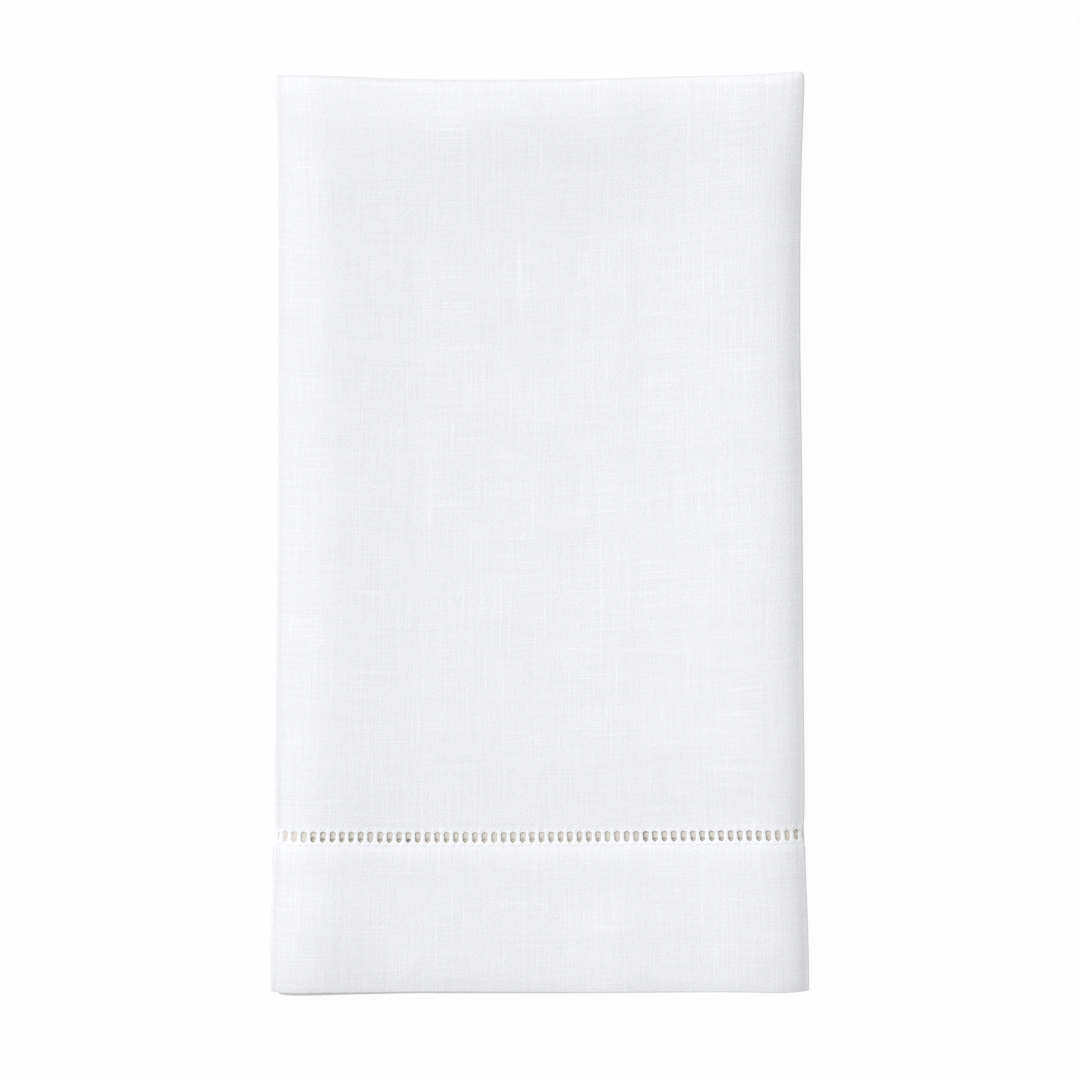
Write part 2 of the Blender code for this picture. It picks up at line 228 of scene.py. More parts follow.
def flap_height(x, on_left):
    """Height of a flap above the middle of the stack, in layers."""
    stepped_down = ease((RIGHT_FLAP_REACH - FLAP_STEP_MARGIN - x) / FLAP_STEP_WIDTH)
    return np.where(on_left, LEFT_FLAP_LAYER - stepped_down, RIGHT_FLAP_LAYER)


def round_fold(turn):
    """How far in from the fold a place lies, and 0 to 1 from its flap to its panel."""
    past, before = np.hypot(turn - FOLD_WALL, FOLD_RADIUS), np.hypot(turn + FOLD_WALL, FOLD_RADIUS)
    inset = (past + before) / 2 - np.hypot(FOLD_WALL, FOLD_RADIUS)
    inset = inset * (HALF_WIDTH / (HALF_WIDTH + FOLD_WALL - np.hypot(FOLD_WALL, FOLD_RADIUS)))
    return inset, 0.5 + (before - past) / (4 * FOLD_WALL)


def place_across(u, v, up):
    """x, the same with the sides straightened, the cloth past the fold, 0 to 1 from flap to panel, and
    whether the left fold is the nearer one."""
    on_left = u < PANEL_MIDDLE
    turn = np.where(on_left, u - LEFT_FOLD, RIGHT_FOLD - u)
    inset, in_panel = round_fold(turn)
    behind = ease((v - STRAIGHT) / (SHEET_LENGTH - 2 * STRAIGHT))
    left = read(SIDES, "left", up) - behind * read(BACK_INSET, "left", up)
    right = read(SIDES, "right", up) - behind * read(BACK_INSET, "right", up)
    bulge = np.where(on_left, left, right) * np.clip(1 - inset / HALF_WIDTH, 0.0, 1.0)
    side = np.where(on_left, -1.0, 1.0)
    return side * (HALF_WIDTH + bulge - inset), side * (HALF_WIDTH - inset), turn, in_panel, on_left


def square_turn():
    """Half of a rounded square: arc length from 0 to 1, with its sines and cosines."""
    angle = np.linspace(0.0, np.pi, TURN_DIVISIONS)
    power = 2 / TURN_SQUARENESS
    sines = np.abs(np.sin(angle)) ** power
    cosines = np.sign(np.cos(angle)) * np.abs(np.cos(angle)) ** power
    length = np.concatenate(([0.0], np.cumsum(np.hypot(np.diff(sines), np.diff(cosines)))))
    return length / length[-1], sines, cosines


TURN_TABLE = square_turn()


def crease_lift(x, y):
    """Height that the soft creases and undulations add to the front panel."""
    lift = np.zeros_like(x)
    for start, end, width, height in zip(*CREASES.values()):
        start, end = np.array(start), np.array(end)
        run = end - start
        t = np.clip(((x - start[0]) * run[0] + (y - start[1]) * run[1]) / (run @ run), 0.0, 1.0)
        off = np.hypot(x - start[0] - t * run[0], y - start[1] - t * run[1])
        lift += height * np.exp(-((off / width) ** 2))
    random = np.random.default_rng(SEED)
    for _ in range(UNDULATIONS):
        heading = random.uniform(0, np.pi)
        wave = random.uniform(*UNDULATION_LENGTHS)
        phase = random.uniform(0, 2 * np.pi)
        along = (x * np.cos(heading) + y * np.sin(heading)) * 2 * np.pi / wave
        lift += UNDULATION_LIFT * wave / UNDULATION_LENGTH * np.sin(along + phase)
    return lift


def crown_lift(x, up, from_top):
    """Lift of the front panel across it: the body's, and the hem's and the top's near its ends."""
    body = read(CROWN_ACROSS, "body", x)
    in_hem = ease((HEM_BLEND[0] - up) / HEM_BLEND[1])
    in_top = ease((TOP_BLEND[1] - from_top) / (TOP_BLEND[1] - TOP_BLEND[0]))
    hem_more = (read(CROWN_ACROSS, "hem", x) - body) * in_hem
    top_more = (read(CROWN_ACROSS, "top", x) - body) * in_top
    in_corner = ease((x - CORNER["x"]) / CORNER["width"]) * ease(1 - from_top / CORNER["from_top"])
    return (body + hem_more + top_more) * (1 - (1 - CORNER["crown"]) * in_corner)


def swell_lift(x, from_top):
    """How much higher the whole stack is here, near the fold at the top."""
    return read(SWELL_SHAPE, "height", x) * read(SWELL, "lift", from_top / read(SWELL_SHAPE, "reach", x))


def row_shift(x, turn, up):
    """How far up the cloth near a row is drawn. The rows in the flaps lie lower."""
    near_row = np.exp(-(((up - ROW_BOTTOM) / ROW_RISE_SPREAD) ** 2))
    drop = FLAP_ROW_DROP * ease((-turn - FLAP_ROW_DROP_START) / FLAP_ROW_DROP_WIDTH)
    return (read(ROW_RISE, "rise", x) - drop) * near_row


def pressed(x, on_left, in_back, panel, cloth):
    """Heights of the flaps' good sides where they are pressed up behind the front panel."""
    left_there = ease((LEFT_FLAP_REACH + PRESS_PAST_FLAP - x) / PRESS_EASE)
    right_there = ease((x - RIGHT_FLAP_REACH + PRESS_PAST_FLAP) / PRESS_EASE)
    over_front = np.where(on_left, 1.0, 1.0 + left_there)
    over_back = np.where(on_left, 2.0 + 2.0 * right_there, 2.0 + left_there)
    layers_over = np.where(in_back, over_back, over_front)
    top = panel - layers_over * (cloth + PRESS_GAP)
    return np.where(in_back, top, top - cloth)


def good_side(u, v):
    """Places of the cloth's good side, one row of x, y, z each."""
    up = np.minimum(up_from_hem(v), STRAIGHT)
    x, straight_x, turn, in_panel, on_left = place_across(u, v, up)
    in_back = v > SHEET_LENGTH / 2
    thick, pitch = read(STACK, "thick", up), read(STACK, "pitch", up)
    stack = thick + LAYER_STEPS * pitch
    flap = flap_height(x, on_left) * pitch - thick / 2 + FLAP_CLOSER
    off_middle = flap + (stack / 2 - flap) * in_panel

    along = np.clip((v - STRAIGHT) / (SHEET_LENGTH - 2 * STRAIGHT), 0.0, 1.0)
    sine, cosine = (np.interp(along, TURN_TABLE[0], column) for column in TURN_TABLE[1:])
    start_y = HEM_EDGE_Y + np.where(in_back, read(HEM_EDGES, "back", x), read(HEM_EDGES, "front", x))
    end_y = TOP_EDGE_Y + read(TOP_EDGE, "rise", x) - TOP_TURN_REACH
    flat_y = start_y + (end_y - start_y) * up / STRAIGHT
    y = flat_y + row_shift(x, turn, up) + off_middle * sine

    from_top = STRAIGHT + TOP_TURN_REACH - up - off_middle * sine
    crown = crown_lift(straight_x, up, from_top)
    crown = crown + crease_lift(x, flat_y) * ease((STRAIGHT - up) / CREASE_FADE)
    z = stack / 2 + (off_middle + crown * in_panel * (1 + cosine) / 2) * cosine
    z = z + swell_lift(straight_x, from_top) * z / stack
    target = pressed(x, on_left, in_back, stack + crown, read(CLOTH, "thick", up))
    near_row = np.exp(-(((up - ROW_BOTTOM) / PRESS_SPREAD) ** 4))
    z = z + (target - z) * near_row * ease((-turn - PRESS_START) / PRESS_WIDTH)
    return np.column_stack((x, y, z))


def fold(u, v, n):
    """Folds places on the flat sheet. n is 0 on the good side of the cloth and positive above it."""
    u, v, n = (np.asarray(a, float) for a in (u, v, n))
    across = good_side(u + SMALL_STEP, v) - good_side(u - SMALL_STEP, v)
    along = good_side(u, v + SMALL_STEP) - good_side(u, v - SMALL_STEP)
    normal = np.cross(across, along)
    normal /= np.linalg.norm(normal, axis=1)[:, None]
    return good_side(u, v) + n[:, None] * normal


# ---------------------------------------------------------------- the rows on the flat sheet
def hole_middles():
    """u of every hole's middle in a row, from one free edge of the sheet to the other."""
    panel = LEFT_FOLD + FIRST_HOLE + HOLE_PITCH * np.arange(HOLES_IN_PANEL)
    left = np.arange(LEFT_FOLD - FIRST_HOLE, SELVEDGE_MARGIN, -HOLE_PITCH)
    right = np.arange(RIGHT_FOLD + LAST_HOLE, SHEET_WIDTH - SELVEDGE_MARGIN, HOLE_PITCH)
    on_folds = [LEFT_FOLD + near for near in FOLD_HOLES["left"]]
    on_folds += [RIGHT_FOLD - near for near in FOLD_HOLES["right"]]
    middles = np.sort(np.concatenate((left, panel, right, on_folds)))
    return middles + np.random.default_rng(SEED).uniform(-HOLE_JITTER, HOLE_JITTER, len(middles))


def off_fold(u):
    """How far a place lies from the nearest side fold."""
    return np.minimum(abs(u - LEFT_FOLD), abs(u - RIGHT_FOLD))


def on_fold(u):
    """Whether a hole is one of those pressed shut at a side fold."""
    return off_fold(u) < FOLD_HOLES["left"][0] + 2 * HOLE_JITTER


def bar_middles():
    """u between each two holes, and half a pitch past the first and last ones."""
    middles = hole_middles()
    ends = (middles[0] - HOLE_PITCH / 2, middles[-1] + HOLE_PITCH / 2)
    return np.concatenate(([ends[0]], (middles[1:] + middles[:-1]) / 2, [ends[1]]))


def covered_on_front(u):
    """Places in the front flaps' rows that have no hole open behind the panel's row."""
    in_left = any(LEFT_FOLD - far < u < LEFT_FOLD - near for near, far in COVERED)
    return in_left or u > LEFT_FLAP_END


def covered_on_back(u):
    return u < LEFT_FOLD or u > RIGHT_FOLD


def hole_outline(middle, low, high):
    """Points round a hole, from its lower left corner, anticlockwise."""
    centre, half_height = (low + high) / 2, (high - low) / 2
    half_width = FOLD_HOLE_HALF_WIDTH if on_fold(middle) else CUT_HALF_WIDTH
    outline = []
    for k in range(HOLE_POINTS):
        angle = np.pi * (2 * k / HOLE_POINTS - 0.75)
        sine, cosine = np.sin(angle), np.cos(angle)
        reach = (abs(cosine) ** HOLE_SQUARENESS + abs(sine) ** HOLE_SQUARENESS) ** (-1 / HOLE_SQUARENESS)
        outline.append((middle + half_width * reach * cosine, centre + half_height * reach * sine))
    return outline


# ---------------------------------------------------------------- the cloth
def spaced(start, end, step):
    """Places from start to end, about a step apart."""
    return np.linspace(start, end, int((end - start) / step) + 1)


def u_stations():
    turns = np.array(sorted({side * step for step in TURN_STEPS for side in (-1, 1)}))
    edge = TURN_STEPS[-1]
    left_flap = spaced(0, LEFT_FOLD - edge, FLAP_STEP)[:-1]
    panel = spaced(LEFT_FOLD + edge, RIGHT_FOLD - edge, PANEL_STEP)[1:-1]
    right_flap = spaced(RIGHT_FOLD + edge, SHEET_WIDTH, FLAP_STEP)[1:]
    return np.concatenate((left_flap, turns + LEFT_FOLD, panel, turns + RIGHT_FOLD, right_flap))


def half_stations(step):
    """v from the hem edge to the row's band, and from the band to the fold at the top."""
    hem_end = ROW_BOTTOM + BELOW_ROW[0]
    hem = np.linspace(HEM_ROUNDING[-1], hem_end, int(hem_end / step) + 1)[1:-1]
    low = np.concatenate((HEM_ROUNDING, hem, ROW_BOTTOM + np.array(BELOW_ROW[:-1])))
    body = spaced(ROW_TOP + ABOVE_ROW[-1], STRAIGHT, step)[1:]
    high = np.concatenate((ROW_TOP + np.array(ABOVE_ROW[1:]), body))
    return low, high


class FlatSheet:
    """The sheet before it is folded: points (u, v), the faces between them, and the sunk points."""

    def __init__(self):
        self.points = []
        self.faces = []
        self.sunk = []

    def add_points(self, places):
        first = len(self.points)
        self.points += places
        return list(range(first, len(self.points)))

    def add_row(self, stations, v):
        return self.add_points([(u, v) for u in stations])

    def join(self, low, high):
        """Quads between two rows with the same divisions, and triangles between others."""
        if len(low) == len(high):
            self.faces += [(low[k], low[k + 1], high[k + 1], high[k]) for k in range(len(low) - 1)]
            return
        i = j = 0
        while i < len(low) - 1 or j < len(high) - 1:
            low_is_next = j == len(high) - 1 or (
                i < len(low) - 1 and self.points[low[i + 1]][0] <= self.points[high[j + 1]][0]
            )
            if low_is_next:
                self.faces.append((low[i], low[i + 1], high[j]))
                i += 1
            else:
                self.faces.append((low[i], high[j + 1], high[j]))
                j += 1

    def add_plain_rows(self, stations, places, before):
        for v in places:
            row = self.add_row(stations, v)
            if before is not None:
                self.join(before, row)
            before = row
        return before

    def add_hole(self, ring, middle, cut, covered):
        """A hole in the cell with this ring of points. It stays shut if it is covered or pressed."""
        hole = self.add_points(hole_outline(middle, *cut))
        for k in range(HOLE_POINTS):
            after = (k + 1) % HOLE_POINTS
            self.faces.append((ring[k], ring[after], hole[after], hole[k]))
        if covered(middle) or on_fold(middle):
            self.faces.append(tuple(hole))
        if on_fold(middle) and off_fold(middle) > SUNK_HOLE_START:
            self.sunk += hole

    def add_cells(self, band, cut, covered):
        """A row of cells with their holes. Returns the points below, above and at the two ends."""
        bounds = bar_middles()
        steps = np.linspace(*band, CELL_SIDE_POINTS)
        columns = [self.add_points([(u, v) for v in steps]) for u in bounds]
        low, high = [columns[0][0]], [columns[0][-1]]
        for k, middle in enumerate(hole_middles()):
            left, right = columns[k], columns[k + 1]
            between = np.linspace(bounds[k], bounds[k + 1], CELL_SIDE_POINTS)[1:-1]
            cell_low = self.add_row(between, band[0])
            cell_high = self.add_row(between, band[1])
            low += cell_low + right[:1]
            high += cell_high + right[-1:]
            ring = [left[0], *cell_low, *right, *reversed(cell_high), *reversed(left[1:])]
            self.add_hole(ring, middle, cut, covered)
        return low, high, columns[0], columns[-1]

    def add_hole_band(self, before, band, cut, stations, covered):
        """The cells of a row, with plain cloth past both ends. Returns the points above them."""
        low, high, first, last = self.add_cells(band, cut, covered)
        left = stations[stations < self.points[first[0]][0] - BAND_END_GAP]
        right = stations[stations > self.points[last[0]][0] + BAND_END_GAP]
        left_low, right_low = (self.add_row(end, band[0]) for end in (left, right))
        left_high, right_high = (self.add_row(end, band[1]) for end in (left, right))
        self.join(left_low, left_high)
        self.faces.append((left_low[-1], *first, left_high[-1]))
        self.join(right_low, right_high)
        self.faces.append((right_low[0], right_high[0], *reversed(last)))
        self.join(before, left_low + low + right_low)
        return left_high + high + right_high


def on_back(span):
    """The same stretch of v on the back panel."""
    return SHEET_LENGTH - span[1], SHEET_LENGTH - span[0]


def flat_sheet():
    sheet = FlatSheet()
    stations = u_stations()
    low, high = half_stations(FRONT_STEP)
    row = sheet.add_plain_rows(stations, low, None)
    row = sheet.add_hole_band(row, BAND, CUT, stations, covered_on_front)
    turn = np.linspace(STRAIGHT, SHEET_LENGTH - STRAIGHT, TOP_TURN_STEPS + 1)[1:-1]
    row = sheet.add_plain_rows(stations, np.concatenate((high, turn)), row)
    low, high = half_stations(BACK_STEP)
    row = sheet.add_plain_rows(stations, SHEET_LENGTH - high[::-1], row)
    row = sheet.add_hole_band(row, on_back(BAND), on_back(CUT), stations, covered_on_back)
    sheet.add_plain_rows(stations, SHEET_LENGTH - low[::-1], row)
    return sheet


def outward_directions(points, rim_edges):
    """For each point on a rim, the direction on the flat sheet that leaves the cloth."""
    out = np.zeros_like(points)
    for a, b in rim_edges:
        run = points[b] - points[a]
        side = np.array((run[1], -run[0])) / np.linalg.norm(run)
        out[a] += side
        out[b] += side
    length = np.linalg.norm(out, axis=1)
    return out / np.where(length > 0, length, 1.0)[:, None]


def rim_rings(flat, rims, rim_points, thick):
    """Rings of folded points that round the cloth off along its rims."""
    u, v = flat[rim_points].T
    out_u, out_v = outward_directions(flat, rims)[rim_points].T
    half = thick[rim_points] / 2
    rings = []
    for angle in np.radians(RIM_ANGLES):
        reach = half * np.cos(angle)
        depth = half + half * np.sin(angle)
        rings.append(fold(u + out_u * reach, v + out_v * reach, -depth))
    return rings


def rim_faces(rims, rim_points, count):
    """Faces round the rims, from the good side's points through the rings to the other side's."""
    place = {point: k for k, point in enumerate(rim_points)}
    faces = []
    for a, b in rims:
        steps = [(a, b)]
        for ring in range(len(RIM_ANGLES)):
            first = 2 * count + ring * len(rim_points)
            steps.append((first + place[a], first + place[b]))
        steps.append((a + count, b + count))
        faces += [(b0, a0, a1, b1) for (a0, b0), (a1, b1) in zip(steps, steps[1:])]
    return faces


def good_side_heights(sheet, v):
    """The stitches pull in a thin groove below the row, and the pressed holes are sunk."""
    heights = -GROOVE_DEPTH * np.exp(-(((up_from_hem(v) - GROOVE_UP) / GROOVE_WIDTH) ** 2))
    heights[sheet.sunk] = -FOLD_HOLE_DEPTH
    return heights


def cloth_mesh():
    """Folded points and faces of the sheet with both its sides and its rims, and its flat places."""
    sheet = flat_sheet()
    flat = np.array(sheet.points)
    u, v = flat.T
    thick = read(CLOTH, "thick", up_from_hem(v))
    outer = fold(u, v, good_side_heights(sheet, v))
    inner = fold(u, v, -thick)
    edges = {(face[k - 1], face[k]) for face in sheet.faces for k in range(len(face))}
    rims = sorted((a, b) for a, b in edges if (b, a) not in edges)
    rim_points = sorted({a for a, _ in rims})
    rings = rim_rings(flat, rims, rim_points, thick)
    inner_faces = [tuple(k + len(u) for k in reversed(face)) for face in sheet.faces]
    faces = sheet.faces + inner_faces + rim_faces(rims, rim_points, len(u))
    flat_all = np.vstack((flat, flat, *([flat[rim_points]] * len(rings))))
    return np.vstack((outer, inner, *rings)), faces, flat_all


# ---------------------------------------------------------------- hemstitch threads
BAR = {  # one wrapped bar, by height above the holes' lower ends
    "up": (-1.0, -0.85, -0.6, -0.35, -0.12, 0.02, 0.22, 0.5, 1.0, 1.5, 1.95, 2.3, 2.5, 2.65, 2.8, 3.05,
           3.3),
    "half_width": (0.6, 1.0, 1.25, 1.36, 1.33, 1.08, 0.78, 0.6, 0.56, 0.56, 0.49, 0.44, 0.5, 0.8, 1.31,
                   1.3, 1.0),
    "half_height": (0.03, 0.06, 0.08, 0.09, 0.1, 0.1, 0.095, 0.09, 0.09, 0.09, 0.09, 0.09, 0.09, 0.09,
                    0.09, 0.07, 0.03),
    "middle_height": (-0.04, -0.04, -0.04, -0.05, -0.06, -0.06, -0.07, -0.07, -0.07, -0.07, -0.07,
                      -0.07, -0.07, -0.06, -0.06, -0.05, -0.03),
}
FRONT_BAR_SIDES = 14
HIDDEN_BAR_SIDES = 8
CLOSEST_HOLES = 1.6  # a bar between closer holes gets no narrower
BACK_BAR_SINK = 0.08  # the bars of the back row are pressed this much further into the cloth
STITCH = {  # one slanting stitch, from a bar's head up to the right
    "along": (0.0, 0.15, 0.4, 0.7, 0.9, 1.0),
    "half_width": (0.14, 0.24, 0.23, 0.17, 0.11, 0.04),
}
STITCH_SIDES = 8
STITCH_START = (-0.1, 0.3)  # from the bar's middle, and up from the holes' upper ends
STITCH_RUN = (0.85, 1.0)
STITCH_LENGTHS = (0.45, 1.15)
STITCH_LEANS = (0.8, 1.25)
STITCH_FLATNESS = 0.4


def rings_to_faces(parts, rings, sides):
    """Faces of many closed tubes whose points lie ring by ring."""
    faces = []
    for part in range(parts):
        first = part * rings * sides
        for r in range(rings - 1):
            for s in range(sides):
                a = first + r * sides + s
                b = first + r * sides + (s + 1) % sides
                faces.append((a, b, b + sides, a + sides))
        faces.append(tuple(first + s for s in reversed(range(sides))))
        faces.append(tuple(first + (rings - 1) * sides + s for s in range(sides)))
    return faces


def tube_grid(tubes, rings, sides):
    """Tube number, ring number and angle of every point of many tubes."""
    angle = 2 * np.pi * np.arange(sides) / sides
    return np.meshgrid(np.arange(tubes), np.arange(rings), angle, indexing="ij")


def bars_mesh(bars, mirrored, sides):
    """Wrapped bars at these places across the sheet, on the front row or, mirrored, on the back one."""
    table = {name: np.array(values) for name, values in BAR.items()}
    spacing = np.diff(hole_middles(), prepend=0, append=0)
    widths = np.interp(bars, bar_middles(), np.clip(spacing, CLOSEST_HOLES, HOLE_PITCH)) / HOLE_PITCH
    bar, ring, turn = tube_grid(len(bars), len(table["up"]), sides)
    u = bars[bar] + np.cos(turn) * table["half_width"][ring] * widths[bar]
    v = ROW_BOTTOM + table["up"][ring]
    n = table["middle_height"][ring] + np.sin(turn) * table["half_height"][ring]
    faces = rings_to_faces(len(bars), len(table["up"]), sides)
    if mirrored:
        v = SHEET_LENGTH - v
        n = n - BACK_BAR_SINK
    else:
        faces = [tuple(reversed(face)) for face in faces]
    return fold(u.ravel(), v.ravel(), n.ravel()), faces, np.column_stack((u.ravel(), v.ravel()))


def stitches_mesh(bars):
    """The slanting stitches above the front row."""
    random = np.random.default_rng(SEED + 1)
    along, half = np.array(STITCH["along"]), np.array(STITCH["half_width"])
    bar, step, turn = tube_grid(len(bars), len(along), STITCH_SIDES)
    length = random.uniform(*STITCH_LENGTHS, len(bars))[bar]
    lean = random.uniform(*STITCH_LEANS, len(bars))[bar]
    run = STITCH_RUN[0] * lean * length, STITCH_RUN[1] * length
    heading = np.arctan2(run[1], run[0])
    side = np.cos(turn) * half[step]
    u = bars[bar] + STITCH_START[0] + run[0] * along[step] - side * np.sin(heading)
    v = ROW_TOP + STITCH_START[1] + run[1] * along[step] + side * np.cos(heading)
    n = STITCH_FLATNESS * half[step] * np.sin(turn)
    faces = [tuple(reversed(face)) for face in rings_to_faces(len(bars), len(along), STITCH_SIDES)]
    return fold(u.ravel(), v.ravel(), n.ravel()), faces, np.column_stack((u.ravel(), v.ravel()))


# ---------------------------------------------------------------- objects
def make_piece(name, points, faces, flat, material, centre):
    """A mesh object with the flat sheet's places, in metres, as its UV map."""
    mesh = bpy.data.meshes.new(name)
    mesh.from_pydata(((points - centre) * MM).tolist(), [], faces)
    corner = np.empty(len(mesh.loops), dtype=np.int32)
    mesh.loops.foreach_get("vertex_index", corner)
    uv_map = mesh.uv_layers.new(name="cloth")
    uv_map.uv.foreach_set("vector", (flat[corner] * MM).astype(np.float32).ravel())
    mesh.shade_smooth()
    mesh.materials.append(material)
    piece = bpy.data.objects.new(name, mesh)
    bpy.context.scene.collection.objects.link(piece)
    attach(piece, "root")
    return piece


def joined(parts):
    """One mesh from several (points, faces, flat) parts."""
    points, faces, flat, count = [], [], [], 0
    for part_points, part_faces, part_flat in parts:
        points.append(part_points)
        faces += [tuple(k + count for k in face) for face in part_faces]
        flat.append(part_flat)
        count += len(part_points)
    return np.vstack(points), faces, np.vstack(flat)


# ---------------------------------------------------------------- materials
class Nodes:
    """A short way to write a material's nodes."""

    def __init__(self, name):
        self.material = bpy.data.materials.new(name)
        self.material.use_nodes = True
        self.tree = self.material.node_tree
        self.shader = self.tree.nodes["Principled BSDF"]

    def put(self, socket, value):
        if isinstance(value, bpy.types.NodeSocket):
            self.tree.links.new(value, socket)
        else:
            socket.default_value = value

    def finish(self, **inputs):
        """Sets the shader's inputs and returns the material."""
        for key, value in inputs.items():
            self.put(self.shader.inputs[key.replace("_", " ")], value)
        return self.material

    def add(self, kind, settings=(), **inputs):
        node = self.tree.nodes.new(kind)
        for key, value in dict(settings).items():
            setattr(node, key, value)
        for key, value in inputs.items():
            self.put(node.inputs[key.replace("_", " ")], value)
        return node

    def math(self, operation, a, b=0.0, clamp=False):
        node = self.add("ShaderNodeMath", {"operation": operation, "use_clamp": clamp})
        self.put(node.inputs[0], a)
        self.put(node.inputs[1], b)
        return node.outputs[0]

    def total(self, terms, start=0.0):
        """Start and each (output, weight) product, added up."""
        for output, weight in terms:
            start = self.math("ADD", start, self.math("MULTIPLY", output, weight))
        return start

    def vector(self, operation, a, b):
        node = self.add("ShaderNodeVectorMath", {"operation": operation})
        self.put(node.inputs[0], a)
        self.put(node.inputs[1], b)
        return node.outputs[0]

    def scaled(self, vector, factor):
        node = self.add("ShaderNodeVectorMath", {"operation": "SCALE"}, Scale=factor)
        self.put(node.inputs[0], vector)
        return node.outputs[0]

    def mixed(self, factor, a, b):
        node = self.add("ShaderNodeMix", {"data_type": "VECTOR"})
        self.put(node.inputs[0], factor)
        self.put(node.inputs[4], a)
        self.put(node.inputs[5], b)
        return node.outputs[1]

    def noise(self, u, v, across, along, shift=0.0, detail=2.0, rough=0.5):
        """A noise node with cells of these sizes, in millimetres."""
        x, y = self.math("DIVIDE", u, across), self.math("DIVIDE", v, along)
        place = self.add("ShaderNodeCombineXYZ", X=x, Y=y, Z=shift).outputs[0]
        return self.add("ShaderNodeTexNoise", Vector=place, Scale=1.0, Detail=detail, Roughness=rough)

    def pattern(self, u, v, **cells):
        """The same as one number from 0 to 1."""
        return self.noise(u, v, **cells).outputs[0]

    def flat_place(self):
        """u and v on the flat sheet, in millimetres."""
        uv = self.add("ShaderNodeUVMap", {"uv_map": "cloth"}).outputs[0]
        split = self.add("ShaderNodeSeparateXYZ", Vector=uv)
        return [self.math("MULTIPLY", split.outputs[axis], 1 / MM) for axis in (0, 1)]


THREAD_PITCH = 0.46
WAVER = 0.5  # how far a thread strays from its line
WAVER_CELLS = {
    "warp": {"across": 1.5, "along": 5.0, "shift": 9.1},
    "weft": {"across": 5.0, "along": 1.5, "shift": 2.9},
}
WEFT_BOW = 0.07  # slope of the weft at the right fold, from this far above the row up
WEFT_BOW_ABOVE_ROW = 60.0
CELLS = {  # of the linen's patterns, in millimetres; those of the strokes lie along the diagonals
    "warp": {"across": 0.34, "along": 16.0, "shift": 3.1, "detail": 3.0, "rough": 0.6},
    "weft": {"across": 14.0, "along": 0.34, "shift": 7.7, "detail": 3.0, "rough": 0.6},
    "grain": {"across": 0.4, "along": 0.4, "shift": 1.3, "detail": 1.0, "rough": 0.6},
    "strokes": {"across": 1.7, "along": 0.5, "shift": 17.3, "detail": 1.0},
    "clouds": {"across": 22.0, "along": 6.0, "shift": 5.2},
    "warp_slubs": {"across": 0.4, "along": 30.0, "shift": 11.3, "detail": 1.0},
    "weft_slubs": {"across": 20.0, "along": 0.36, "shift": 14.9, "detail": 1.0},
    "greys": {"across": 0.5, "along": 0.5, "shift": 21.7, "detail": 1.0},
}
SLUB_START = 0.557  # noise above this is a slub
WEFT_SLUBS = 1.3  # how strong they are beside the warp's
RELIEF = 0.000053  # in metres
RELIEF_STRENGTH = 0.9
HEIGHTS = {"weave": 0.2, "warp": 1.4, "weft": 1.15, "grain": 0.75, "strokes": 1.4, "slubs": 1.5}
HEIGHTS_NEAR_LEFT = {"weft": 0.9, "strokes": -0.8}  # added at the left fold
NEAR_LEFT_REACH = 25.0  # and no more this far from it
SHADES = {"warp": 0.1, "weft": 0.075, "grain": 0.045, "strokes": 0.06, "clouds": 0.035, "slubs": 0.22}
DARKEST_SHADE = 0.841
GREY_SPREAD = 0.05

WHITE = (1.0, 1.0, 1.0)
LINEN_COLOUR = (0.8655, 0.8710, 0.8965)
FLAP_PAINTED_SHADE = (0.838, 0.8, 0.724)  # painted shade, warm and dark, on the flaps next to the rows, which show in the holes
COVERED_PAINTED_SHADE = (0.82, 0.75, 0.65)  # and painted shade on the right flap behind the left one
BACK_LEFT_PAINTED_SHADE = (0.9, 0.825, 0.7)  # and painted shade on the flaps on the back of the strip
BACK_RIGHT_PAINTED_SHADE = (0.78, 0.725, 0.645)
FLAP_PAINTED_SHADE_START = 1.3  # past the middle of a side fold
FLAP_PAINTED_SHADE_FADE = (2.2, 0.3)  # strength at the row, and what it loses a millimetre away from it
SLIT_PAINTED_SHADE = (0.78, 0.75, 0.69)  # painted shade in the pressed holes next to the folds
SLIT_HALF_WIDTH = 0.32
SLIT_POWERS = (2.0, 4.0)  # how sharply it ends across and along
FOLD_PAINTED_SHADE = 0.06  # painted shade along the rounded fold at the left
FOLD_PAINTED_SHADE_REACH = 3.0

THREAD_COLOUR = (0.888, 0.896, 0.92)
TURN_PITCH = 0.3  # of the thread wrapped round the bars
TURN_SLANT = 0.5
TURN_HEIGHT = 0.25
THREAD_RELIEF = 0.00006
THREAD_RELIEF_STRENGTH = 0.5
FIBRE_CELLS = {"across": 0.5, "along": 0.12, "rough": 0.6}
FIBRE_SHADE = 0.1


def bowed_weft(nodes, u, v):
    """The weft runs straight along the row of holes and rises to the right fold above it."""
    across = nodes.math("SUBTRACT", u, LEFT_FOLD)
    rise = nodes.math("MULTIPLY", nodes.math("MULTIPLY", across, across), WEFT_BOW / 2 / PANEL_WIDTH)
    above = nodes.math("DIVIDE", nodes.math("SUBTRACT", v, ROW_BOTTOM), WEFT_BOW_ABOVE_ROW, clamp=True)
    return nodes.math("SUBTRACT", v, nodes.math("MULTIPLY", rise, above))


def plain_weave(nodes, warp_place, weft_place):
    """Threads that go over and under each other, from -1 to 1."""
    waves = []
    for place in (warp_place, weft_place):
        waves.append(nodes.math("SINE", nodes.math("MULTIPLY", place, np.pi / THREAD_PITCH)))
    return nodes.math("MULTIPLY", *waves)


